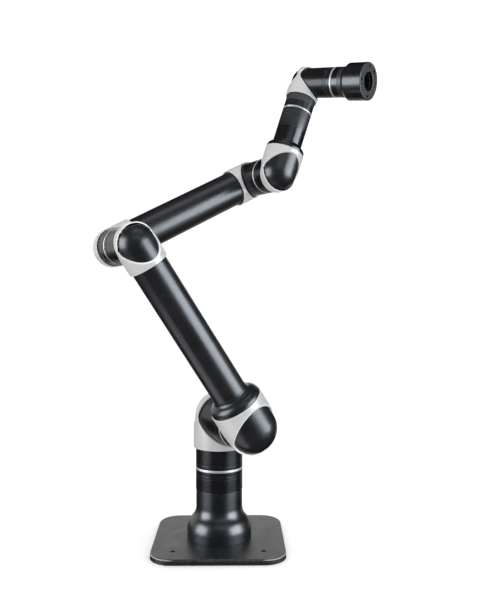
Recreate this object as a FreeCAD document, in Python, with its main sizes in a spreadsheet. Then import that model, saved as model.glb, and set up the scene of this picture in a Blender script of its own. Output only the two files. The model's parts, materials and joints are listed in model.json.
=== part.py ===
import FreeCAD, Part
import math
import os
import Sketcher

# A six-axis articulated robot arm on a square mounting plate, in millimetres.
# The row's origin is the centre of the plate's underside, on the base joint's axis, +Z up.
# Every joint is a servo module: a fixed housing, a silver seal ring and a turning output.
# The modules meet in mitred silver casings, each closed on its free side by a black cap.

doc = FreeCAD.newDocument("RobotArm")
sheet = doc.addObject("Spreadsheet::Sheet", "dims")

DIMENSIONS = {
    # mounting plate
    "plate_side": 240, "plate_thick": 10, "plate_corner": 40, "plate_bevel": 2.2,
    "plate_bolt_pitch": 160, "plate_bolt_radius": 4.5,
    # base casting
    "flange_radius": 60, "flange_dome": 36, "flare_radius": 29.4, "flare_top": 68,
    "neck_radius": 43, "neck_top": 100, "base_wall": 3.5,
    "base_screw_circle": 51, "base_screw_radius": 3, "base_screw_head": 5.2,
    "base_screw_head_height": 4, "base_screw_length": 18,
    # link lengths between joint axes
    "shoulder_height": 233, "shoulder_offset": 119.7, "upper_arm_length": 375,
    "elbow_offset": 97.3, "forearm_length": 295, "wrist_offset": 100,
    "wrist_rise": 175, "tool_reach": 124.6,
    # casings, in three sizes
    "casing_large": 47.8, "casing_medium": 34.4, "casing_small": 28.6,
    "casing_ring": 1.14, "casing_bore": 0.93, "casing_end_gap": 1.2,
    # servo barrels in the same sizes, and their hollow shafts
    "barrel_large": 43.6, "barrel_medium": 31.4, "barrel_small": 25.8,
    "shaft_large": 14, "shaft_medium": 11, "shaft_small": 8,
    # where each servo's housing ends, along its own axis
    "base_servo_floor": 76, "base_servo_length": 61.0,
    "shoulder_servo_length": 79, "elbow_servo_length": 59.1, "wrist_1_servo_length": 63.9,
    "wrist_2_servo_floor": 37, "wrist_2_servo_length": 77.7, "wrist_3_servo_length": 61.3,
    "ring_large": 4.8, "ring_medium": 3.4, "ring_small": 3.3,
    "moving_gap": 0.3, "running_gap": 0.05, "barrel_wall": 3,
    "groove_depth": 0.5, "groove_width": 1.2,
    # arm tubes and the pieces that hold them
    "tube_radius": 30.7, "tube_wall": 3, "socket_radius": 46.4, "socket_top": 77.3,
    "socket_dome": 15, "socket_flare": 8.5, "sleeve_lip": 0.8,
    "collar_radius": 34, "collar_top": 52.5, "collar_dome": 9, "collar_flare": 2.5,
    # tool flange
    "flange_body_radius": 31.5, "flange_pilot_radius": 15.75, "flange_pilot_depth": 6.5,
    "flange_well_radius": 15, "flange_well_depth": 26,
    "flange_bolt_circle": 50, "flange_bolt_radius": 2.5, "flange_bolt_depth": 12,
    "dowel_radius": 3, "dowel_depth": 8, "flange_cone_start": 84, "flange_cone_end": 90.6,
    # power socket at the back of the base
    "power_socket_height": 62, "power_socket_radius": 8.5, "power_socket_flange": 11,
    "power_socket_face": 52,
}

# The rest pose, in degrees.
HEADING = 29.1           # turn of the whole arm about +Z
UPPER_ARM_LEAN = 34.3    # upper arm back from upright
FOREARM_RISE = 26.8      # forearm up from level
WRIST_LEAN = 20.0        # wrist 2's axis forward from upright
TOOL_TURN = 64.9         # tool axis, turned about wrist 2's axis

for row, (alias, number) in enumerate(DIMENSIONS.items(), start=1):
    sheet.set("A%d" % row, alias)
    sheet.set("B%d" % row, str(number))
    sheet.setAlias("B%d" % row, alias)
doc.recompute()


class Size:
    """A length: its value in millimetres and the expression that gives it from the sheet."""

    def __init__(self, value, text):
        self.value = float(value)
        self.text = text

    def joined(self, other, sign, value):
        return Size(value, "(%s %s %s)" % (self.text, sign, as_size(other).text))

    def __add__(self, other):
        return self.joined(other, "+", self.value + as_size(other).value)

    def __sub__(self, other):
        return self.joined(other, "-", self.value - as_size(other).value)

    def __mul__(self, other):
        return self.joined(other, "*", self.value * as_size(other).value)

    def __truediv__(self, other):
        return self.joined(other, "/", self.value / as_size(other).value)

    def __neg__(self):
        return as_size(0) - self


def as_size(number):
    if isinstance(number, Size):
        return number
    return Size(number, "%.6g" % number if number >= 0 else "(%.6g)" % number)


def dim(alias):
    return Size(DIMENSIONS[alias], "dims." + alias)


def bind(item, **sizes):
    """Ties properties of an object to the sheet."""
    for name, size in sizes.items():
        item.setExpression(name, as_size(size).text)


def slide(item, x=None, y=None, z=None):
    """Ties the position of an object to the sheet."""
    for axis, size in (("x", x), ("y", y), ("z", z)):
        if size is not None:
            item.setExpression("Placement.Base." + axis, as_size(size).text)


# ---------------------------------------------------------------- building blocks

ALONG_X = FreeCAD.Rotation(FreeCAD.Vector(0, 1, 0), 90)
UPRIGHT = FreeCAD.Rotation(FreeCAD.Vector(1, 0, 0), 90)
pieces = []


def cylinder(name, radius, height, rotation=None, x=None, y=None, z=None):
    item = doc.addObject("Part::Cylinder", name)
    bind(item, Radius=radius, Height=height)
    if rotation is not None:
        item.Placement = FreeCAD.Placement(FreeCAD.Vector(), rotation)
    slide(item, x, y, z)
    return item


def box(name, length, width, height, x=None, y=None, z=None):
    item = doc.addObject("Part::Box", name)
    bind(item, Length=length, Width=width, Height=height)
    slide(item, x, y, z)
    return item


def fuse(name, items):
    item = doc.addObject("Part::MultiFuse", name)
    item.Shapes = items
    return item


def common(name, items):
    item = doc.addObject("Part::MultiCommon", name)
    item.Shapes = items
    return item


def cut(name, base, tool):
    item = doc.addObject("Part::Cut", name)
    item.Base = base
    item.Tool = tool
    return item


def draw(sketch, points):
    """Draws a closed outline of (across, up) or (across, up, radius) points in a sketch.

    A radius makes the side that leads to its point an arc: bulging to the right of the
    way it is drawn if the radius is positive, to the left if negative."""
    count = len(points)
    for index in range(count):
        start = points[index - 1]
        end = points[index]
        first = FreeCAD.Vector(start[0].value, start[1].value, 0)
        last = FreeCAD.Vector(end[0].value, end[1].value, 0)
        if len(end) == 2:
            geo = sketch.addGeometry(Part.LineSegment(first, last), False)
            end_key = 2
        else:
            radius = abs(end[2].value)
            right = end[2].value > 0
            half = (last - first) / 2
            side = FreeCAD.Vector(-half.y, half.x, 0) if right else FreeCAD.Vector(half.y, -half.x, 0)
            side.normalize()
            centre = first + half + side * math.sqrt(max(radius ** 2 - half.Length ** 2, 0))
            circle = Part.Circle(centre, FreeCAD.Vector(0, 0, 1), radius)
            angles = [math.atan2(end_point.y - centre.y, end_point.x - centre.x)
                      for end_point in (first, last)]
            if not right:
                angles.reverse()
            if angles[1] < angles[0]:
                angles[1] += 2 * math.pi
            geo = sketch.addGeometry(Part.ArcOfCircle(circle, angles[0], angles[1]), False)
            end_key = 2 if right else 1
            name = "radius_%d" % index
            sketch.addConstraint(Sketcher.Constraint("Radius", geo, radius))
            sketch.renameConstraint(sketch.ConstraintCount - 1, name)
            sketch.setExpression("Constraints." + name, end[2].text if right else (-end[2]).text)
        start_key = 3 - end_key
        if index > 0:
            sketch.addConstraint(Sketcher.Constraint("Coincident", geo - 1, last_key, geo, start_key))
        else:
            first_key = start_key
        last_key = end_key
    sketch.addConstraint(Sketcher.Constraint("Coincident", count - 1, last_key, 0, first_key))
    for index, point in enumerate(points):
        key = 2
        if len(point) == 3 and point[2].value < 0:
            key = 1
        for kind, size, axis in (("DistanceX", point[0], -2), ("DistanceY", point[1], -1)):
            if abs(size.value) < 1e-9:
                sketch.addConstraint(Sketcher.Constraint("PointOnObject", index, key, axis))
                continue
            name = "%s_%d" % (kind[-1].lower(), index)
            if size.value > 0:
                rule = Sketcher.Constraint(kind, -1, 1, index, key, size.value)
                text = size.text
            else:
                rule = Sketcher.Constraint(kind, index, key, -1, 1, -size.value)
                text = (-size).text
            sketch.addConstraint(rule)
            sketch.renameConstraint(sketch.ConstraintCount - 1, name)
            sketch.setExpression("Constraints." + name, text)


def root(size):
    return Size(math.sqrt(size.value), "sqrt(%s)" % size.text)


def dome_and_flare(wide, dome, neck, flare, top):
    """Outline points of a wall that rounds in over a dome and flares smoothly into a neck."""
    span = dome + flare
    across = neck + flare + dome - wide
    rise = root(span * span - across * across)
    foot = top - rise
    share = dome / span
    return [(wide, foot), (wide - dome + across * share, foot + rise * share, dome),
            (neck, top, -flare)]


def as_points(points):
    return [tuple(as_size(number) for number in point) for point in points]


def origin_item(body, role):
    for item in body.Origin.OriginFeatures:
        if item.Role == role:
            return item
    raise ValueError(role)


def turned(name, points):
    """A body turned about its own Z axis from an outline of (radius, height) points."""
    body = doc.addObject("PartDesign::Body", name)
    sketch = body.newObject("Sketcher::SketchObject", name + "_outline")
    sketch.AttachmentSupport = [(origin_item(body, "XZ_Plane"), "")]
    sketch.MapMode = "FlatFace"
    draw(sketch, as_points(points))
    turn = body.newObject("PartDesign::Revolution", name + "_turn")
    turn.Profile = sketch
    turn.ReferenceAxis = (sketch, ["V_Axis"])
    turn.Angle = 360
    return body


def prism(name, points, width):
    """A bar along Y whose section is an outline of (x, z) points."""
    sketch = doc.addObject("Sketcher::SketchObject", name + "_outline")
    sketch.Placement = FreeCAD.Placement(FreeCAD.Vector(), UPRIGHT)
    draw(sketch, as_points(points))
    item = doc.addObject("Part::Extrusion", name)
    item.Base = sketch
    item.DirMode = "Custom"
    item.Dir = FreeCAD.Vector(0, 1, 0)
    item.Solid = True
    item.Symmetric = True
    bind(item, LengthFwd=width)
    return item


def keep(item, label, place):
    """Makes an object one of the arm's pieces, under its label, at its place."""
    item.Label = label
    item.Placement = place
    pieces.append(item)
    return item


def drills(name, radius, depth, circle, count, z, start=0):
    """Cylinders evenly spaced on a circle round the Z axis."""
    items = []
    for number in range(count):
        angle = math.radians(start + 360 * number / count)
        items.append(cylinder("%s_%d" % (name, number + 1), radius, depth,
                              x=circle * round(math.cos(angle), 6),
                              y=circle * round(math.sin(angle), 6), z=z))
    return items


# ---------------------------------------------------------------- frames at rest

UP = FreeCAD.Vector(0, 0, 1)
turn = math.radians(HEADING)
PIVOT_WAY = FreeCAD.Vector(math.sin(turn), -math.cos(turn), 0)      # the three parallel joint axes
FORWARD = FreeCAD.Vector(math.cos(turn), math.sin(turn), 0)


def swing(degrees):
    """A direction in the arm's plane, measured from forward towards up."""
    angle = math.radians(degrees)
    return FORWARD * math.cos(angle) + UP * math.sin(angle)


UPPER_WAY = swing(90 + UPPER_ARM_LEAN)
FORE_WAY = swing(FOREARM_RISE)
WRIST_WAY = swing(90 - WRIST_LEAN)
turn = math.radians(TOOL_TURN)
TOOL_WAY = swing(-WRIST_LEAN) * math.cos(turn) + PIVOT_WAY * math.sin(turn)

SHOULDER = UP * DIMENSIONS["shoulder_height"]
UPPER_START = SHOULDER + PIVOT_WAY * DIMENSIONS["shoulder_offset"]
UPPER_END = UPPER_START + UPPER_WAY * DIMENSIONS["upper_arm_length"]
FORE_START = UPPER_END - PIVOT_WAY * DIMENSIONS["elbow_offset"]
FORE_END = FORE_START + FORE_WAY * DIMENSIONS["forearm_length"]
WRIST_START = FORE_END + PIVOT_WAY * DIMENSIONS["wrist_offset"]
WRIST_END = WRIST_START + WRIST_WAY * DIMENSIONS["wrist_rise"]


def place(origin, z_way, x_way):
    """The placement whose local Z and X axes point the given ways."""
    turned_axes = FreeCAD.Rotation(x_way, z_way.cross(x_way), z_way, "ZXY")
    return FreeCAD.Placement(origin, turned_axes)


AT_ORIGIN = FreeCAD.Placement()

# ---------------------------------------------------------------- plate and base


def mounting_plate():
    half = dim("plate_side") / 2
    corner = dim("plate_corner")
    flat = half - corner
    body = doc.addObject("PartDesign::Body", "plate_blank")
    sketch = body.newObject("Sketcher::SketchObject", "plate_outline")
    sketch.AttachmentSupport = [(origin_item(body, "XY_Plane"), "")]
    sketch.MapMode = "FlatFace"
    draw(sketch, [
        (flat, -half), (half, -flat, corner), (half, flat), (flat, half, corner),
        (-flat, half), (-half, flat, corner), (-half, -flat), (-flat, -half, corner)])
    pad = body.newObject("PartDesign::Pad", "plate_pad")
    pad.Profile = sketch
    bind(pad, Length=dim("plate_thick"))
    doc.recompute()
    rim = [face for face in pad.Shape.Faces if abs(face.CenterOfMass.z - pad.Length.Value) < 0.01]
    names = ["Edge%d" % (number + 1) for number, edge in enumerate(pad.Shape.Edges)
             if edge.hashCode() in [side.hashCode() for side in rim[0].Edges]]
    bevel = body.newObject("PartDesign::Chamfer", "plate_bevel")
    bevel.Base = (pad, names)
    bind(bevel, Size=dim("plate_bevel"))
    through = dim("plate_thick") + 2
    reach = dim("plate_bolt_pitch") / 2
    holes = [cylinder("plate_bolt_hole_" + side, dim("plate_bolt_radius"), through,
                      x=reach * way, y=-reach, z=-1)
             for side, way in (("left", -1), ("right", 1))]
    circle = dim("base_screw_circle")
    holes += drills("plate_screw_hole", dim("base_screw_radius") + 0.3, through, circle, 6, -1, 30)
    holes += drills("plate_screw_sink", dim("base_screw_head") + 0.4,
                    dim("base_screw_head_height") + 1.4, circle, 6, -1, 30)
    plate = cut("plate_drilled", body, fuse("plate_holes", holes))
    keep(plate, "mounting_plate", AT_ORIGIN)


def base_housing():
    bore = dim("neck_radius") - dim("base_wall")
    rim = dim("flange_radius")
    neck = dim("neck_radius")
    shell = turned("base_shell", [(bore, dim("plate_thick")), (rim, dim("plate_thick"))]
                   + dome_and_flare(rim, dim("flange_dome"), neck, dim("flare_radius"), dim("flare_top"))
                   + [(neck, dim("neck_top")), (bore, dim("neck_top"))])
    holes = drills("base_screw_thread", dim("base_screw_radius") + dim("running_gap"),
                   dim("base_screw_length"), dim("base_screw_circle"), 6, dim("plate_thick") - 4, 30)
    socket_hole = cylinder("power_socket_hole", dim("power_socket_radius") + dim("running_gap"), 40,
                           FreeCAD.Rotation(FreeCAD.Vector(1, 0, 0), -90), y=30,
                           z=dim("power_socket_height"))
    keep(cut("base_drilled", shell, fuse("base_holes", holes + [socket_hole])),
         "base_housing", AT_ORIGIN)


def base_screws():
    circle = dim("base_screw_circle")
    head_top = dim("base_screw_head_height")
    heads = drills("base_screw_head_part", dim("base_screw_head"), head_top - 0.4, circle, 6, 0.4, 30)
    shanks = drills("base_screw_shank", dim("base_screw_radius"), dim("base_screw_length"),
                    circle, 6, head_top - 0.2, 30)
    sockets = drills("base_screw_key", 2.5, 2.5, circle, 6, -0.1, 30)
    screws = fuse("base_screw_blanks", heads + shanks)
    keep(cut("base_screw_set", screws, fuse("base_screw_keys", sockets)), "base_screws", AT_ORIGIN)


def power_socket():
    radius = dim("power_socket_radius")
    face = dim("power_socket_face")
    piece = turned("power_socket_body", [
        (radius, 38), (radius, face - 2.4), (dim("power_socket_flange"), face - 2.4),
        (dim("power_socket_flange"), face - 0.6), (dim("power_socket_flange") - 0.6, face),
        (radius - 2, face), (radius - 2, face - 9), (0, face - 9), (0, 38)])
    height = UP * DIMENSIONS["power_socket_height"]
    keep(piece, "power_socket", place(height, FreeCAD.Vector(0, 1, 0), FreeCAD.Vector(1, 0, 0)))


# ---------------------------------------------------------------- casings and caps

# The openings, in casing radii: apex, height of the mitre at the wall, strap edge at the far
# end, and the apex's corner radius. The servo side's mitre clears the barrel that turns in it.
SERVO_NOTCH = (0.03, 1.00, 0.20, 0.42)
LARGE_CAP_NOTCH = (0.11, 0.94, 0.22, 0.30)
SMALL_CAP_NOTCH = (0.12, 0.95, 0.32, 0.30)
STRAP_DEPTH = 1.05


def notch(name, radius, side, shape, lip=0.0):
    """A V-shaped opening with a rounded apex, cut right through a casing along Y.

    One edge climbs from the apex to the wall, the other runs down beside the strap that
    closes the casing's far end. All in casing radii; a lip pushes both edges outwards."""
    apex, rise, strap, corner = shape
    reach = 1.25
    climb_way = FreeCAD.Vector(1 - apex, rise, 0).normalize()
    strap_way = FreeCAD.Vector(strap - apex, -STRAP_DEPTH, 0).normalize()
    half = climb_way.getAngle(strap_way) / 2
    along = corner / math.tan(half)
    start = apex - lip
    climb = rise / (1 - apex)
    points = [
        (reach, climb * (reach - start)),
        (start + climb_way.x * along, climb_way.y * along),
        (start + strap_way.x * along, strap_way.y * along, corner),
        (start + (strap - apex) * reach / STRAP_DEPTH, -reach),
        (reach, -reach)]
    outline = []
    for point in points:
        sized = [radius * point[0] * side, radius * point[1]]
        if len(point) == 3:
            sized.append(radius * point[2] * side)
        outline.append(tuple(sized))
    return prism(name, outline, radius * 2.4)


def pipe_elbow(name, radius, top):
    """A bar along Z whose far end is rounded off by an equal bar along X."""
    bar = cylinder(name + "_bar", radius, top + radius, z=-radius)
    cross = cylinder(name + "_cross", radius, radius * 2.4, ALONG_X, x=-radius * 1.2)
    block = box(name + "_block", radius * 2.2, radius * 2.2, radius * 1.1,
                x=-radius * 1.1, y=-radius * 1.1, z=-radius * 1.1)
    return cut(name, bar, cut(name + "_trim", block, cross))


def casing(label, size, cap_notch, at):
    """A mitred shell: Z points out of its ring end, X towards its servo, -X to its cap."""
    radius = dim("casing_" + size)
    ring_end = radius * dim("casing_ring")
    outside = pipe_elbow(label + "_outside", radius, ring_end)
    inside = pipe_elbow(label + "_inside", radius * dim("casing_bore"), ring_end + 1)
    shell = cut(label + "_shell", outside, inside)
    servo_side = notch(label + "_servo_notch", radius, 1, SERVO_NOTCH)
    cap_side = notch(label + "_cap_notch", radius, -1, cap_notch)
    opened = cut(label + "_opened", shell, servo_side)
    keep(cut(label + "_mitred", opened, cap_side), label, at)


def cap(label, size, cap_notch, at):
    """The domed cover that closes a casing opposite its servo."""
    radius = dim("casing_" + size)
    outer = radius * dim("casing_bore") - 0.15
    inner = outer - radius * 0.05
    top = radius * (cap_notch[1] + 0.04)
    shell = turned(label + "_dome", [
        (0, -outer), (outer, 0, outer), (outer, top), (inner, top), (inner, 0), (0, -inner, -inner)])
    window = notch(label + "_window", radius, -1, cap_notch, lip=0.04)
    keep(common(label + "_trimmed", [shell, window]), label, at)


# ---------------------------------------------------------------- servo modules

def grooved(radius, heights):
    """Outline points of a wall that climbs past shallow grooves."""
    deep = radius - dim("groove_depth")
    points = []
    for height in heights:
        over = height + dim("groove_width")
        points += [(radius, height), (deep, height), (deep, over), (radius, over)]
    return points


GEAR_BORE = 0.62         # inside radius of the gear and of the motor windings, in barrel radii
STATOR_BORE = 0.68
GEAR_LENGTH = 0.55


def servo(name, size, length, at, spigot=None):
    """The fixed half of a joint: housing, motor windings and gear, and the rotor inside them."""
    barrel = dim("barrel_" + size)
    shaft = dim("shaft_" + size)
    bore = (barrel if spigot is None else spigot[0]) - dim("barrel_wall")
    gear_bore = barrel * GEAR_BORE
    gear_floor = length - barrel * GEAR_LENGTH
    stator_floor = as_size(7)
    stator_top = gear_floor - 3
    stator_bore = barrel * STATOR_BORE
    slip = shaft + dim("running_gap")
    points = [(slip, 0)]
    if spigot is None:
        points += [(barrel - 0.8, 0), (barrel, 0.8)]
    else:
        points += [(spigot[0], 0), (spigot[0], spigot[1]), (barrel, spigot[1])]
    points += grooved(barrel, [length - 13, length - 8])
    points += [(barrel, length), (bore, length), (bore, 4), (slip, 4)]
    keep(turned(name + "_housing_body", points), name + "_housing", at)
    keep(turned(name + "_stator_body", [
        (stator_bore, stator_floor), (bore, stator_floor), (bore, stator_top),
        (stator_bore, stator_top)]), name + "_stator", at)
    keep(turned(name + "_gear_body", [
        (gear_bore, gear_floor), (bore, gear_floor), (bore, length), (gear_bore, length)]),
        name + "_gear", at)
    magnets = stator_bore - 0.6
    wave = gear_bore - 0.6
    shaft_top = length - 8
    keep(turned(name + "_rotor_body", [
        (shaft - 2.5, -4), (shaft, -4), (shaft, stator_floor + 1), (magnets, stator_floor + 1),
        (magnets, stator_top - 1), (shaft, stator_top - 1), (shaft, gear_floor + 2),
        (wave, gear_floor + 2), (wave, shaft_top), (shaft - 2.5, shaft_top)]),
        name + "_rotor", at)


def output_stem(size, length):
    """Outline points that every servo output shares: gear spigot, neck and seal ring seat."""
    barrel = dim("barrel_" + size)
    spigot = barrel * GEAR_BORE - dim("running_gap")
    neck = barrel - 2
    seat = length + dim("moving_gap")
    seat_top = seat + dim("ring_" + size)
    return [(dim("shaft_" + size), length - 6), (spigot, length - 6), (spigot, seat), (neck, seat),
            (neck, seat_top), (barrel, seat_top)]


def seal_ring(name, size, length, at):
    barrel = dim("barrel_" + size)
    seat = length + dim("moving_gap")
    top = seat + dim("ring_" + size)
    outer = barrel + 0.3
    keep(turned(name + "_ring_body", [
        (barrel - 2, seat), (outer - 0.6, seat), (outer, seat + 0.6), (outer, top - 0.6),
        (outer - 0.6, top), (barrel - 2, top)]), name + "_ring", at)


def servo_output(name, size, length, end, at):
    """The turning half of a joint, hollow beyond its web."""
    barrel = dim("barrel_" + size)
    seat_top = length + dim("moving_gap") + dim("ring_" + size)
    bore = barrel - dim("barrel_wall")
    web = seat_top + 5
    keep(turned(name + "_output_body", output_stem(size, length) + grooved(barrel, [seat_top + 6]) + [
        (barrel, end), (bore, end), (bore, web), (dim("shaft_" + size), web)]),
        name + "_output", at)


# ---------------------------------------------------------------- arm tubes and adapters

def arm_tube(label, low, high, at):
    outer = dim("tube_radius")
    inner = outer - dim("tube_wall")
    keep(turned(label + "_body", [(inner, low), (outer, low), (outer, high), (inner, high)]), label, at)


def upper_arm_socket(at):
    """The bell that steps from the shoulder casing down to the upper arm tube."""
    radius = dim("casing_large")
    seat = radius * dim("casing_ring")
    spigot = radius * dim("casing_bore") - 2.5
    wide = dim("socket_radius")
    tube = dim("tube_radius")
    top = dim("socket_top")
    keep(turned("upper_arm_socket_body", [
        (tube, radius * 0.95), (spigot, radius * 0.95), (spigot, seat + 0.2), (wide, seat + 0.2)]
        + dome_and_flare(wide, dim("socket_dome"), tube + dim("sleeve_lip"), dim("socket_flare"), top)
        + [(tube, top)]), "upper_arm_socket", at)


def wrist_collar(at):
    """The flared collar between the wrist 1 casing and the wrist 2 servo."""
    seat = dim("casing_medium") * dim("casing_ring")
    bore = dim("barrel_small") + 0.1
    wide = dim("collar_radius")
    top = dim("collar_top")
    spigot = dim("casing_medium") * dim("casing_bore") - 0.4
    keep(turned("wrist_1_collar_body", [
        (bore, seat - 1.2), (spigot, seat - 1.2), (spigot, seat + 0.2), (wide, seat + 0.2)]
        + dome_and_flare(wide, dim("collar_dome"), bore + dim("sleeve_lip"), dim("collar_flare"), top)
        + [(bore, top)]), "wrist_1_collar", at)


def tool_flange(length, at):
    """Servo 6's output: a stepped flange with a pilot bore, four threads and a dowel hole."""
    barrel = dim("barrel_small")
    wide = dim("flange_body_radius")
    cone = dim("flange_cone_start")
    shoulder = dim("flange_cone_end")
    face = dim("tool_reach")
    pilot = dim("flange_pilot_radius")
    pilot_floor = face - dim("flange_pilot_depth")
    well = dim("flange_well_radius")
    well_floor = face - dim("flange_well_depth")
    blank = turned("tool_flange_blank", output_stem("small", length) + [
        (barrel, cone), (wide - 0.6, shoulder - 0.6), (wide, shoulder),
        (wide, face - 0.8), (wide - 0.8, face), (pilot + 0.5, face), (pilot, face - 0.5),
        (pilot, pilot_floor), (well, pilot_floor), (well, well_floor),
        (dim("shaft_small"), well_floor)])
    circle = dim("flange_bolt_circle") / 2
    threads = drills("tool_thread", dim("flange_bolt_radius"), dim("flange_bolt_depth") + 1,
                     circle, 4, face - dim("flange_bolt_depth"), 25)
    dowel = drills("tool_dowel_hole", dim("dowel_radius"), dim("dowel_depth") + 1,
                   circle, 1, face - dim("dowel_depth"), 340)
    keep(cut("tool_flange_drilled", blank, fuse("tool_flange_holes", threads + dowel)),
         "tool_flange", at)


# ---------------------------------------------------------------- assembly

mounting_plate()
base_housing()
base_screws()
power_socket()

CASINGS = {
    "shoulder": ("large", SHOULDER, -UP, PIVOT_WAY),
    "upper_arm_base": ("large", UPPER_START, UPPER_WAY, -PIVOT_WAY),
    "upper_arm_elbow": ("medium", UPPER_END, -UPPER_WAY, -PIVOT_WAY),
    "forearm_elbow": ("medium", FORE_START, FORE_WAY, PIVOT_WAY),
    "forearm_wrist": ("medium", FORE_END, -FORE_WAY, PIVOT_WAY),
    "wrist_1": ("medium", WRIST_START, WRIST_WAY, -PIVOT_WAY),
    "wrist_2": ("small", WRIST_END, -WRIST_WAY, TOOL_WAY),
}
for label, (size, centre, ring_way, servo_way) in CASINGS.items():
    cap_notch = LARGE_CAP_NOTCH if size == "large" else SMALL_CAP_NOTCH
    at = place(centre, ring_way, servo_way)
    casing(label + "_casing", size, cap_notch, at)
    cap(label + "_cap", size, cap_notch, at)

base_servo_floor = UP * DIMENSIONS["base_servo_floor"]
wrist_2_servo_floor = WRIST_START + WRIST_WAY * DIMENSIONS["wrist_2_servo_floor"]
large_end = dim("casing_large") * 0.95
ring_gap = dim("casing_end_gap")
small_ring_end = dim("casing_small") * dim("casing_ring")
# each servo: size, housing length, where its output ends along its own axis, and its frame
SERVOS = {
    "base_servo": ("large", dim("base_servo_length"),
                   dim("shoulder_height") - dim("base_servo_floor") - large_end,
                   place(base_servo_floor, UP, FORWARD)),
    "shoulder_servo": ("large", dim("shoulder_servo_length"), dim("shoulder_offset"),
                       place(SHOULDER, PIVOT_WAY, UP)),
    "elbow_servo": ("medium", dim("elbow_servo_length"), dim("elbow_offset"),
                    place(UPPER_END, -PIVOT_WAY, UP)),
    "wrist_1_servo": ("medium", dim("wrist_1_servo_length"), dim("wrist_offset"),
                      place(FORE_END, PIVOT_WAY, UP)),
    "wrist_2_servo": ("small", dim("wrist_2_servo_length"),
                      dim("wrist_rise") - dim("wrist_2_servo_floor") - small_ring_end + ring_gap,
                      place(wrist_2_servo_floor, WRIST_WAY, PIVOT_WAY)),
    "wrist_3_servo": ("small", dim("wrist_3_servo_length"), None,
                      place(WRIST_END, TOOL_WAY, WRIST_WAY)),
}
base_spigot = (dim("neck_radius") - dim("base_wall"), dim("neck_top") - dim("base_servo_floor"))
for name, (size, length, end, at) in SERVOS.items():
    servo(name, size, length, at, base_spigot if name == "base_servo" else None)
    seal_ring(name, size, length, at)
    if end is not None:
        servo_output(name, size, length, end, at)
tool_flange(dim("wrist_3_servo_length"), SERVOS["wrist_3_servo"][3])

upper_frame = place(UPPER_START, UPPER_WAY, PIVOT_WAY)
fore_frame = place(FORE_START, FORE_WAY, PIVOT_WAY)
medium_inset = dim("casing_medium") * dim("casing_ring") - ring_gap
upper_arm_socket(upper_frame)
arm_tube("upper_arm_tube", dim("casing_large") * 0.97, dim("upper_arm_length") - medium_inset,
         upper_frame)
arm_tube("forearm_tube", medium_inset, dim("forearm_length") - medium_inset, fore_frame)
wrist_collar(place(WRIST_START, WRIST_WAY, PIVOT_WAY))

doc.recompute()
for item in doc.Objects:
    if "Invalid" in item.State or "Error" in item.State:
        raise RuntimeError("failed: %s %s" % (item.Name, item.State))
os.makedirs("parts", exist_ok=True)
for item in pieces:
    shape = item.Shape
    if shape.isNull() or not shape.isValid() or not shape.Solids:
        raise RuntimeError("bad shape: " + item.Label)
    shape.exportStep("parts/%s.step" % item.Label)
print("pieces:", len(pieces))
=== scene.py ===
import json
import math

import bmesh
import bpy
from mathutils import Matrix, Vector

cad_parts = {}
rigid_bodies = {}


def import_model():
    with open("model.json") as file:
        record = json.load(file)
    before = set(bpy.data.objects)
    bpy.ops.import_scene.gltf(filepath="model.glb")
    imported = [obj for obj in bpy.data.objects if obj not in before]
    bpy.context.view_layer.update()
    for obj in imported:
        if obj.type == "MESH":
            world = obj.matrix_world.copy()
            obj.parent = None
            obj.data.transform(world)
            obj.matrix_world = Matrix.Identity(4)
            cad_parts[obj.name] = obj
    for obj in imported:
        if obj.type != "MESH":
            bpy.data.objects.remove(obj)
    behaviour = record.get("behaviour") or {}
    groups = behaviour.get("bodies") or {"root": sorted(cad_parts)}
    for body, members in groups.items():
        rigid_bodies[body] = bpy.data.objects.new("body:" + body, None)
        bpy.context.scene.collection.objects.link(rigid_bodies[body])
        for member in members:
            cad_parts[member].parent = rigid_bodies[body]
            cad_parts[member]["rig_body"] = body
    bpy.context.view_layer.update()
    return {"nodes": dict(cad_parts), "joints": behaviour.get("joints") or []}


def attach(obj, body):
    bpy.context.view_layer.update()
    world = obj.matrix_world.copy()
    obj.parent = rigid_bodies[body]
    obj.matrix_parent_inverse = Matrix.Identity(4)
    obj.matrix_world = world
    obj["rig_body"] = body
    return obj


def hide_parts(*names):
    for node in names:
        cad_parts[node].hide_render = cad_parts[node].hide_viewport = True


# A six-axis robot arm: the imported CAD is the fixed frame, and every visible piece is redrawn
# from its CAD node with rounded edges and a material of its own. Metres throughout.

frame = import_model()
scene = bpy.context.scene
joints = {joint["name"]: joint for joint in frame["joints"]}


# ---------------------------------------------------------------- where each piece's axis lies

def pivot(name):
    return Vector(joints[name]["pos_m"])


def axis(name):
    return Vector(joints[name]["axis"]).normalized()


def square_to(way, along):
    """The part of a vector that is square to a unit direction, at unit length."""
    return (way - along * way.dot(along)).normalized()


def home(origin, z_way, x_hint):
    """The matrix of a local frame whose Z points along z_way."""
    x_way = square_to(Vector(x_hint), z_way)
    y_way = z_way.cross(x_way)
    turn = Matrix((x_way, y_way, z_way)).transposed()
    return Matrix.Translation(origin) @ turn.to_4x4()


# how far each link's axis lies from the joint before it, along the swing axis
SHOULDER_OFFSET = 0.1197
ELBOW_OFFSET = 0.0973
WRIST_OFFSET = 0.1

UP = Vector((0, 0, 1))
SWING = axis("shoulder_joint")
UPPER_WAY = square_to(pivot("elbow_joint") - pivot("shoulder_joint"), SWING)
FORE_WAY = square_to(pivot("wrist_1_joint") - pivot("elbow_joint"), SWING)
WRIST_WAY = axis("wrist_2_joint")
TOOL_WAY = axis("wrist_3_joint")

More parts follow.
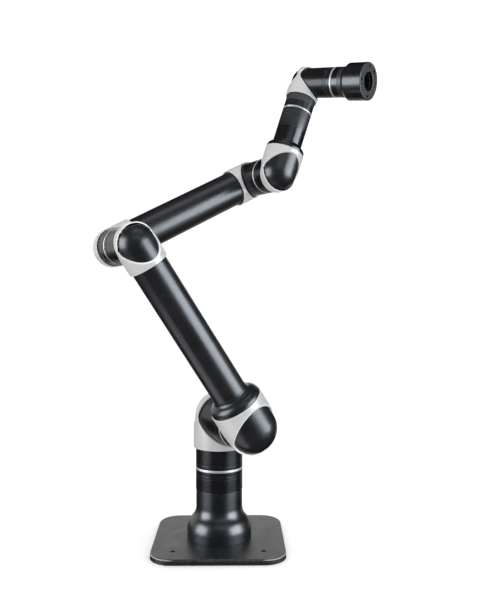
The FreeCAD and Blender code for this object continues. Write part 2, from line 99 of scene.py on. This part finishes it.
SHOULDER = pivot("shoulder_joint")
ELBOW = pivot("elbow_joint")
WRIST_1 = pivot("wrist_1_joint")
WRIST_2 = pivot("wrist_2_joint")
UPPER_START = SHOULDER + SWING * SHOULDER_OFFSET
FORE_START = ELBOW - SWING * ELBOW_OFFSET
WRIST_START = WRIST_1 + SWING * WRIST_OFFSET

BASE = home(Vector(), UP, (1, 0, 0))
UPPER = home(UPPER_START, UPPER_WAY, SWING)
FORE = home(FORE_START, FORE_WAY, SWING)
WRIST = home(WRIST_START, WRIST_WAY, SWING)
SERVO_HOMES = {
    "base_servo": BASE,
    "shoulder_servo": home(SHOULDER, SWING, UP),
    "elbow_servo": home(ELBOW, SWING, UP),
    "wrist_1_servo": home(WRIST_1, SWING, UP),
    "wrist_2_servo": WRIST,
    "wrist_3_servo": home(WRIST_2, TOOL_WAY, WRIST_WAY),
}
# the casings' outside radii
LARGE = 0.0478
MIDDLE = 0.0344
SMALL = 0.0286
# each casing: where its two bores cross, the way out of its ring end, the way to its servo,
# and its outside radius
CASINGS = {
    "shoulder": (SHOULDER, -UP, SWING, LARGE),
    "upper_arm_base": (UPPER_START, UPPER_WAY, -SWING, LARGE),
    "upper_arm_elbow": (ELBOW, -UPPER_WAY, -SWING, MIDDLE),
    "forearm_elbow": (FORE_START, FORE_WAY, SWING, MIDDLE),
    "forearm_wrist": (WRIST_1, -FORE_WAY, SWING, MIDDLE),
    "wrist_1": (WRIST_START, WRIST_WAY, -SWING, MIDDLE),
    "wrist_2": (WRIST_2, -WRIST_WAY, TOOL_WAY, SMALL),
}


# ---------------------------------------------------------------- materials

# scales of the noise that draws turned or drawn lines
ROUND_Z = (60, 60, 5000)          # round local Z: quick along it, slow across it
ALONG_Z = (1500, 1500, 12)        # along local Z
FINE = (900, 900, 900)            # no direction

COOL_TINT = (0.93, 0.965, 1.0, 1)
BLACK = ((0.006, 0.006, 0.007), (0.011, 0.011, 0.013))     # the coat's dark and light
EDGE = (0.045, 0.045, 0.05)       # where an edge is rubbed
# the grey of the matt bands, and of the painted reflection of the silver casing on wrist 2's
# output
MATT_AND_REFLECTED_GREY = (0.070, 0.070, 0.075)
# the light grey of the painted highlight on the plate's corner bevels
PAINTED_HIGHLIGHT_GREY = (0.30, 0.30, 0.31)
BANDS_REACH = 0.16                # bands lie within this much of a piece's own Z
# a painted highlight on the plate's corner bevels: between these heights, from one sum of |x| and
# |y| to the other
HIGHLIGHT_LOW, HIGHLIGHT_HIGH = 0.0076, 0.0092
HIGHLIGHT_START, HIGHLIGHT_FULL = 0.195, 0.206


class Paint:
    """A node material being built: a Principled shader, and helpers that add nodes before it.

    Its patterns lie in a redrawn piece's own frame, which the mesh holds, or for anything else
    in the object's coordinates."""

    def __init__(self, name, redrawn=True, **constants):
        self.material = bpy.data.materials.new(name)
        self.material.use_nodes = True
        self.tree = self.material.node_tree
        self.shader = self.tree.nodes["Principled BSDF"]
        for socket, value in constants.items():
            self.shader.inputs[socket.replace("_", " ")].default_value = value
        if redrawn:
            self.place = self.node("ShaderNodeAttribute", attribute_name="home").outputs["Vector"]
        else:
            self.place = self.node("ShaderNodeTexCoord").outputs["Object"]

    def node(self, kind, **settings):
        made = self.tree.nodes.new(kind)
        for key, value in settings.items():
            setattr(made, key, value)
        return made

    def join(self, source, target):
        self.tree.links.new(source, target)

    def stretched(self, scale):
        """The piece's own coordinates, scaled along each axis."""
        mapping = self.node("ShaderNodeMapping")
        mapping.inputs["Scale"].default_value = scale
        self.join(self.place, mapping.inputs["Vector"])
        return mapping.outputs["Vector"]

    def noise(self, scale, detail=2.0, roughness=0.5, vector=None):
        made = self.node("ShaderNodeTexNoise")
        made.inputs["Scale"].default_value = scale
        made.inputs["Detail"].default_value = detail
        made.inputs["Roughness"].default_value = roughness
        self.join(vector or self.place, made.inputs["Vector"])
        return made.outputs["Fac"]

    def ramp(self, source, low, high, start=0.0, end=1.0):
        """source, taken from low..high to start..end."""
        made = self.node("ShaderNodeMapRange")
        made.inputs["From Min"].default_value = low
        made.inputs["From Max"].default_value = high
        made.inputs["To Min"].default_value = start
        made.inputs["To Max"].default_value = end
        self.join(source, made.inputs["Value"])
        return made.outputs["Result"]

    def math(self, operation, *values):
        made = self.node("ShaderNodeMath", operation=operation)
        for socket, value in zip(made.inputs, values):
            if isinstance(value, (int, float)):
                socket.default_value = value
            else:
                self.join(value, socket)
        return made.outputs["Value"]

    def blend(self, factor, first, second):
        made = self.node("ShaderNodeMix", data_type="RGBA")
        self.join(factor, made.inputs["Factor"])
        for key, value in (("A", first), ("B", second)):
            socket = next(s for s in made.inputs if s.name == key and s.type == "RGBA")
            if isinstance(value, tuple):
                socket.default_value = (*value, 1)
            else:
                self.join(value, socket)
        return next(s for s in made.outputs if s.type == "RGBA")

    def axes(self):
        """The piece's own X, Y and Z."""
        made = self.node("ShaderNodeSeparateXYZ")
        self.join(self.place, made.inputs["Vector"])
        return made.outputs

    def banded(self, bands):
        """Roughness and greyness that change along the piece's own Z.

        Each band is (where it starts in metres, roughness, greyness) and runs to the next one."""
        made = self.node("ShaderNodeValToRGB")
        stops = made.color_ramp.elements
        made.color_ramp.interpolation = "CONSTANT"
        stops.remove(stops[1])
        for index, (start, rough, grey) in enumerate(bands):
            stop = stops.new(start / BANDS_REACH) if index else stops[0]
            stop.color = (rough, grey, 0, 1)
        self.join(self.ramp(self.axes()["Z"], 0, BANDS_REACH), made.inputs["Fac"])
        split = self.node("ShaderNodeSeparateColor")
        self.join(made.outputs["Color"], split.inputs["Color"])
        return split.outputs["Red"], split.outputs["Green"]

    def marked(self, mark):
        """1 on the faces that the mesh marks: its rounded edges, or a casing's cut rims."""
        return self.node("ShaderNodeAttribute", attribute_name=mark).outputs["Fac"]

    def bumps(self, *layers):
        """Bump layers of (height, strength, depth in metres)."""
        normal = None
        for height, strength, depth in layers:
            made = self.node("ShaderNodeBump")
            made.inputs["Strength"].default_value = strength
            made.inputs["Distance"].default_value = depth
            self.join(height, made.inputs["Height"])
            if normal is not None:
                self.join(normal, made.inputs["Normal"])
            normal = made.outputs["Normal"]
        self.join(normal, self.shader.inputs["Normal"])

    def finish(self, colour, roughness):
        self.join(colour, self.shader.inputs["Base Color"])
        self.join(roughness, self.shader.inputs["Roughness"])
        return self.material


def satin_black(name, dark, light, edge, gloss, grain, lines=None, shine=0.5, bands=None,
                painted_highlight=None):
    """Black metal or plastic: cloudy tone, satin gloss that varies, fine grain and turned lines.

    gloss is the middle of its roughness. A piece finished in bands adds each band's roughness
    to that, so its own is 0. Marked edges are lightened to the edge colour: rubbed wear on most
    pieces, and on the plate a painted highlight line. The last argument gives where a painted
    highlight is laid on in light grey."""
    paint = Paint(name, Specular_Tint=COOL_TINT, Specular_IOR_Level=shine)
    clouds = paint.noise(22, 4, 0.6)
    speck = paint.noise(900, 2, 0.6)
    tone = paint.math("ADD", paint.math("MULTIPLY", clouds, 0.7),
                      paint.math("MULTIPLY", speck, 0.3))
    colour = paint.blend(paint.ramp(tone, 0.35, 0.65), dark, light)
    # marked edges lightened: rubbed wear on most pieces, and a painted highlight line on the
    # plate
    edge_wear_and_highlight = paint.math("MULTIPLY", paint.marked("edge"),
                      paint.ramp(paint.noise(160, 3, 0.7), 0.42, 0.62))
    colour = paint.blend(edge_wear_and_highlight, colour, edge)
    smear = paint.ramp(paint.noise(35, 5, 0.65), 0.3, 0.7, gloss - 0.035, gloss + 0.045)
    if bands:
        rough, grey = paint.banded(bands)
        smear = paint.math("ADD", smear, rough)
        # the bands' greyness: matt bands, and a painted reflection on wrist 2's last band
        colour = paint.blend(grey, colour, MATT_AND_REFLECTED_GREY)
    # a painted highlight, in light grey, where the given mask says
    if painted_highlight:
        colour = paint.blend(painted_highlight(paint), colour, PAINTED_HIGHLIGHT_GREY)
    layers = [(paint.noise(grain, 2, 0.55), 0.06 if lines else 0.10, 0.0002)]
    if lines:
        turned = paint.noise(1.0, 1, 0.5, paint.stretched(lines))
        smear = paint.math("ADD", smear, paint.ramp(turned, 0.3, 0.7, -0.03, 0.03))
        layers.append((turned, 0.08, 0.0001))
    paint.bumps(*layers)
    return paint.finish(colour, smear)


def plate_corner_highlight(paint):
    """1 on the bevel round the plate's corners, where a highlight is painted on."""
    place = paint.axes()
    reach = paint.math("ADD", paint.math("ABSOLUTE", place["X"]),
                       paint.math("ABSOLUTE", place["Y"]))
    above = paint.math("GREATER_THAN", place["Z"], HIGHLIGHT_LOW)
    below = paint.math("LESS_THAN", place["Z"], HIGHLIGHT_HIGH)
    band = paint.math("MULTIPLY", above, below)
    return paint.math("MULTIPLY", band, paint.ramp(reach, HIGHLIGHT_START, HIGHLIGHT_FULL))


def casing_silver():
    """Light grey satin enamel with a fine metal flake, and a painted highlight on its cut rims
    and rounded edges.
    """
    paint = Paint("casing_silver_enamel", Specular_IOR_Level=0.5)
    flake = paint.node("ShaderNodeTexVoronoi")
    flake.inputs["Scale"].default_value = 2600
    paint.join(paint.place, flake.inputs["Vector"])
    cloud = paint.noise(18, 4, 0.6)
    sparkle = paint.ramp(flake.outputs["Distance"], 0.0, 0.8)
    tone = paint.math("ADD", paint.math("MULTIPLY", cloud, 0.6),
                      paint.math("MULTIPLY", sparkle, 0.4))
    colour = paint.blend(paint.ramp(tone, 0.25, 0.75), (0.480, 0.484, 0.488),
                         (0.540, 0.544, 0.548))
    # painted highlight: the cut rims, and the rounded edges at 0.6, lightened towards near-white
    painted_highlight = paint.math("MAXIMUM", paint.marked("rim"),
                      paint.math("MULTIPLY", paint.marked("edge"), 0.6))
    colour = paint.blend(painted_highlight, colour, (0.80, 0.805, 0.81))
    smear = paint.ramp(paint.noise(40, 4, 0.6), 0.3, 0.7, 0.25, 0.33)
    paint.bumps((paint.noise(1400, 2, 0.5), 0.08, 0.0002),
                (paint.noise(260, 2, 0.5), 0.05, 0.0003))
    return paint.finish(colour, smear)


def turned_metal(name, dark, light, gloss, lines, redrawn=True, **constants):
    """Bare turned metal: fine lines round the piece's axis."""
    paint = Paint(name, redrawn, **constants)
    turned = paint.noise(1.0, 2, 0.6, paint.stretched(lines))
    cloud = paint.noise(60, 3, 0.6)
    tone = paint.math("ADD", paint.math("MULTIPLY", turned, 0.6),
                      paint.math("MULTIPLY", cloud, 0.4))
    colour = paint.blend(paint.ramp(tone, 0.3, 0.7), dark, light)
    smear = paint.ramp(cloud, 0.3, 0.7, gloss - 0.05, gloss + 0.05)
    paint.bumps((turned, 0.04, 0.0001))
    return paint.finish(colour, smear)


MATERIALS = {
    # the plate: its edge colour paints a highlight line along its bevels, and its corner bevels
    # get a painted highlight
    "plate_black": satin_black("plate_powder_coat", (0.010, 0.010, 0.011), (0.017, 0.017, 0.019),
                               (0.13, 0.13, 0.135), 0.42, 1300, painted_highlight=plate_corner_highlight),
    "base_black": satin_black("base_casting", *BLACK, EDGE, 0.31, 1600, shine=0.72),
    "anodised_black": satin_black("anodised_collar", *BLACK, EDGE, 0.22, 2400, ROUND_Z),
    "tool_black": satin_black("anodised_flange", *BLACK, (0.025, 0.025, 0.028), 0, 2400, ROUND_Z,
                              bands=[(0, 0.22, 0), (0.0755, 0.42, 0.20), (0.0845, 0.26, 0),
                                     (0.1243, 0.26, 0.75)]),
    "barrel_black": satin_black("anodised_barrel", *BLACK, EDGE, 0.25, 2400, ROUND_Z, shine=0.28),
    # wrist 2: its last band, from 0.1295 m, is greyed as a painted reflection of its silver
    # casing
    "wrist_2_black": satin_black("anodised_wrist_2", *BLACK, EDGE, 0, 2400, ROUND_Z, shine=0.40,
                                 bands=[(0, 0.30, 0), (0.052, 0.22, 0), (0.080, 0.34, 0.10),
                                        (0.087, 0.42, 0.13), (0.116, 0.29, 0),
                                        (0.1295, 0.38, 0.58)]),
    "wrist_3_black": satin_black("anodised_wrist_3", *BLACK, EDGE, 0, 2400, ROUND_Z, shine=0.24,
                                 bands=[(0, 0.27, 0), (0.0505, 0.30, 0.15), (0.053, 0.19, 0.08)]),
    "tube_black": satin_black("anodised_tube", (0.010, 0.010, 0.012), (0.017, 0.017, 0.020),
                              (0.06, 0.06, 0.07), 0.30, 2400, ALONG_Z),
    "cap_black": satin_black("moulded_cap", (0.009, 0.009, 0.010), (0.014, 0.014, 0.016),
                             (0.05, 0.05, 0.055), 0.31, 900, shine=0.48),
    "casing_silver": casing_silver(),
    "seal_ring_steel": turned_metal("seal_ring_turned", (0.42, 0.43, 0.44), (0.60, 0.61, 0.62),
                                    0.46, ROUND_Z, Metallic=0.6),
    "screw_steel": turned_metal("screw_blackened", (0.05, 0.05, 0.055), (0.13, 0.13, 0.135),
                                0.38, FINE, False, Metallic=0.9),
    "socket_nickel": turned_metal("socket_nickel_plate", (0.42, 0.41, 0.39), (0.62, 0.61, 0.58),
                                  0.28, ROUND_Z, Metallic=1.0),
    "winding_copper": turned_metal("winding_enamelled", (0.42, 0.17, 0.07), (0.72, 0.34, 0.16),
                                   0.35, FINE, False, Metallic=0.8),
    "gear_steel": turned_metal("gear_ground", (0.34, 0.34, 0.35), (0.55, 0.55, 0.57),
                               0.32, FINE, False, Metallic=1.0),
    "rotor_steel": turned_metal("rotor_turned", (0.28, 0.28, 0.30), (0.46, 0.46, 0.48),
                                0.36, FINE, False, Metallic=1.0),
}


# ---------------------------------------------------------------- pieces

MID_WALL = 0.965              # the middle of a casing's wall, in outside radii
SHARP = math.radians(26)      # edges that turn more than this are rounded off
FLAT = math.radians(0.4)      # faces that turn less than this are merged
CREASE = math.radians(38)     # edges that turn more than this aren't smoothed over
WELD = 2e-6                   # corners closer than this are joined


def span(corner):
    """How far out a corner of a casing lies: from the ring end's axis, and past the bores'
    crossing from whichever bore's axis is farther."""
    across = math.hypot(corner.x, corner.y)
    return across if corner.z >= 0 else max(across, math.hypot(corner.y, corner.z))


def redrawn(node, at, width, wall=None):
    """A piece that stands for a CAD node: its shape, with every sharp edge rounded off.

    Faces that cross a casing's wall, given by its outside radius, are marked as cut rims."""
    source = frame["nodes"][node].data
    to_local = at.inverted()
    form = bmesh.new()
    corners = [form.verts.new(to_local @ vertex.co) for vertex in source.vertices]
    for polygon in source.polygons:
        form.faces.new([corners[index] for index in polygon.vertices])
    bmesh.ops.remove_doubles(form, verts=form.verts, dist=WELD)
    bmesh.ops.dissolve_limit(form, angle_limit=FLAT, verts=form.verts, edges=form.edges)
    mark = form.faces.layers.float.new("edge")
    if wall:
        rim = form.faces.layers.float.new("rim")
        for face in form.faces:
            spans = [span(vertex.co) for vertex in face.verts]
            if min(spans) < MID_WALL * wall < max(spans):
                face[rim] = 1.0
    sharp = [edge for edge in form.edges if edge.is_manifold and edge.calc_face_angle() > SHARP]
    if sharp:
        made = bmesh.ops.bevel(form, geom=sharp, offset=width, offset_type="OFFSET", segments=2,
                               profile=0.5, affect="EDGES", clamp_overlap=False,
                               loop_slide=False)
        for face in made["faces"]:
            face[mark] = 1.0
    own_place = form.verts.layers.float_vector.new("home")
    for vertex in form.verts:
        vertex[own_place] = vertex.co
        vertex.co = at @ vertex.co
    mesh = bpy.data.meshes.new(node + "_drawn")
    form.to_mesh(mesh)
    form.free()
    mesh.shade_smooth()
    mesh.set_sharp_from_angle(angle=CREASE)
    piece = bpy.data.objects.new(node + "_piece", mesh)
    scene.collection.objects.link(piece)
    weigh = piece.modifiers.new("weigh", "WEIGHTED_NORMAL")
    weigh.keep_sharp = True
    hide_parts(node)
    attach(piece, frame["nodes"][node]["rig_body"])
    return piece


# each redrawn piece: its frame, its material, the width of its rounded edges, and for a
# casing its outside radius
PIECES = {
    "mounting_plate": (BASE, "plate_black", 0.0004),
    "base_housing": (BASE, "base_black", 0.0004),
    "power_socket": (BASE, "socket_nickel", 0.0002),
    "upper_arm_socket": (UPPER, "cap_black", 0.0005),
    "upper_arm_tube": (UPPER, "tube_black", 0.0003),
    "forearm_tube": (FORE, "tube_black", 0.0003),
    "wrist_1_collar": (WRIST, "anodised_black", 0.0003),
    "tool_flange": (SERVO_HOMES["wrist_3_servo"], "tool_black", 0.0004),
}
BARREL_LOOKS = {"wrist_2_servo": "wrist_2_black", "wrist_3_servo": "wrist_3_black"}
for servo, at in SERVO_HOMES.items():
    look = BARREL_LOOKS.get(servo, "barrel_black")
    PIECES[servo + "_housing"] = (at, look, 0.0003)
    PIECES[servo + "_ring"] = (at, "seal_ring_steel", 0.0003)
    if servo != "wrist_3_servo":
        PIECES[servo + "_output"] = (at, look, 0.0003)
for casing, (centre, ring_way, servo_way, radius) in CASINGS.items():
    at = home(centre, ring_way, servo_way)
    PIECES[casing + "_casing"] = (at, "casing_silver", 0.0006, radius)
    PIECES[casing + "_cap"] = (at, "cap_black", 0.0004)

# looks that are one finish to the CAD
for node, (at, look, *sizes) in PIECES.items():
    piece = redrawn(node, at, *sizes)
    piece.data.materials.append(MATERIALS[look])

for name, node in frame["nodes"].items():
    if name not in PIECES:
        for index, slot in enumerate(node.material_slots):
            look = node.data.materials[index].name.split(".")[0]
            slot.link = "OBJECT"
            slot.material = MATERIALS[look]


PIN_FEET = 0.0427             # behind the base's axis, 0.3 mm inside the socket's floor
SOCKET_HEIGHT = 0.062


def contact_pins(count=5, circle=0.0036, radius=0.0008, length=0.006):
    """The pins in the power socket's bore, sunk a little into its floor."""
    form = bmesh.new()
    for number in range(count):
        turn = math.tau * number / count
        foot = Vector((circle * math.sin(turn), PIN_FEET,
                       SOCKET_HEIGHT + circle * math.cos(turn)))
        made = bmesh.ops.create_cone(form, cap_ends=True, segments=20, radius1=radius,
                                     radius2=radius * 0.7, depth=length)
        middle = Matrix.Translation(foot + Vector((0, length / 2, 0)))
        lay = middle @ Matrix.Rotation(-math.pi / 2, 4, "X")
        bmesh.ops.transform(form, matrix=lay, verts=made["verts"])
    own_place = form.verts.layers.float_vector.new("home")
    for vertex in form.verts:
        vertex[own_place] = vertex.co
    mesh = bpy.data.meshes.new("socket_pins")
    form.to_mesh(mesh)
    form.free()
    pins = bpy.data.objects.new("socket_pins", mesh)
    mesh.materials.append(MATERIALS["socket_nickel"])
    scene.collection.objects.link(pins)
    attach(pins, "base")


contact_pins()


# ---------------------------------------------------------------- floor, light and camera

AIM_HEIGHT = 0.42         # every softbox points here, on the base's axis
FLOOR_HALF_WIDTH = 6
FLOOR_DROP = 0.0004       # keeps the floor's face clear of the plate's
COOL = (0.90, 0.95, 1.0)
WHITE = (1.0, 1.0, 1.0)


def softbox(name, azimuth, height, distance, width, tall, radiance, colour, shines=True):
    """A rectangular softbox that faces the arm; azimuth 0 is on the camera's side, 90 at +X.

    One that shines is seen in gloss alone; one that doesn't lights the surfaces alone."""
    light = bpy.data.lights.new(name, "AREA")
    light.shape = "RECTANGLE"
    light.size = width
    light.size_y = tall
    light.energy = radiance * math.pi * width * tall
    light.color = colour
    lamp = bpy.data.objects.new(name, light)
    turn = math.radians(azimuth)
    lamp.location = (distance * math.sin(turn), -distance * math.cos(turn), height)
    aim = Vector((0, 0, AIM_HEIGHT)) - lamp.location
    lamp.rotation_mode = "QUATERNION"
    lamp.rotation_quaternion = aim.to_track_quat("-Z", "Y")
    lamp.visible_diffuse = not shines
    lamp.visible_glossy = shines
    scene.collection.objects.link(lamp)


def floor():
    """Pale paper just under the plate. It isn't seen in gloss."""
    form = bmesh.new()
    bmesh.ops.create_grid(form, x_segments=4, y_segments=4, size=FLOOR_HALF_WIDTH)
    mesh = bpy.data.meshes.new("floor")
    form.to_mesh(mesh)
    form.free()
    plane = bpy.data.objects.new("floor", mesh)
    paint = Paint("floor_paper", redrawn=False, Specular_IOR_Level=0.1)
    tone = paint.ramp(paint.noise(3, 2, 0.5), 0.3, 0.7)
    mesh.materials.append(paint.finish(paint.blend(tone, (0.96, 0.96, 0.96), (0.98, 0.98, 0.98)),
                                       paint.ramp(tone, 0, 1, 0.8, 0.9)))
    plane.location.z = -FLOOR_DROP
    plane.visible_glossy = False
    scene.collection.objects.link(plane)


floor()
softbox("right_box", 66, 0.64, 2.2, 1.75, 1.6, 12, COOL)
softbox("left_box", -67, 0.64, 2.2, 1.6, 1.6, 11, COOL)
softbox("right_floor_glow", 64, -0.5, 2.0, 1.7, 0.6, 1.2, COOL)
softbox("left_floor_glow", -62, -0.5, 2.0, 1.5, 0.6, 1.2, COOL)
softbox("top_box", 20, 2.3, 0.6, 1.4, 0.8, 1.4, COOL)
softbox("front_top_box", 10, 1.67, 1.8, 1.5, 0.6, 1.2, COOL)
softbox("back_wall", 180, 0.9, 2.6, 2.4, 1.6, 1.4, WHITE)
softbox("low_back_card", 172, -0.15, 1.6, 2.6, 0.55, 0.5, WHITE)
softbox("left_wall", -132, 0.75, 2.4, 2.0, 1.4, 1.0, WHITE)
softbox("bounce_card", -70, -0.7, 0.6, 0.9, 0.9, 1.6, WHITE)
softbox("overhead_fill", 30, 2.4, 0.9, 1.6, 1.6, 1.0, WHITE, shines=False)

world = bpy.data.worlds.new("studio")
scene.world = world
world.use_nodes = True
backdrop = world.node_tree.nodes["Background"]
backdrop.inputs["Color"].default_value = (1, 1, 1, 1)
backdrop.inputs["Strength"].default_value = 1.13
world.cycles_visibility.glossy = False
scene.view_settings.view_transform = "Standard"

LENS_TO_PICTURE = 700.1 / 600      # focal length over the picture's height
PITCH_DOWN = 0.0140
YAW = -0.0129
camera = bpy.data.cameras.new("camera")
camera.sensor_width = 36
camera.lens = LENS_TO_PICTURE * camera.sensor_width
camera.clip_start = 0.05
camera.clip_end = 50
eye = bpy.data.objects.new("camera", camera)
eye.location = (0.0315, -1.3093, 0.4702)
eye.rotation_euler = (math.pi / 2 - PITCH_DOWN, 0, YAW)
scene.collection.objects.link(eye)
scene.camera = eye
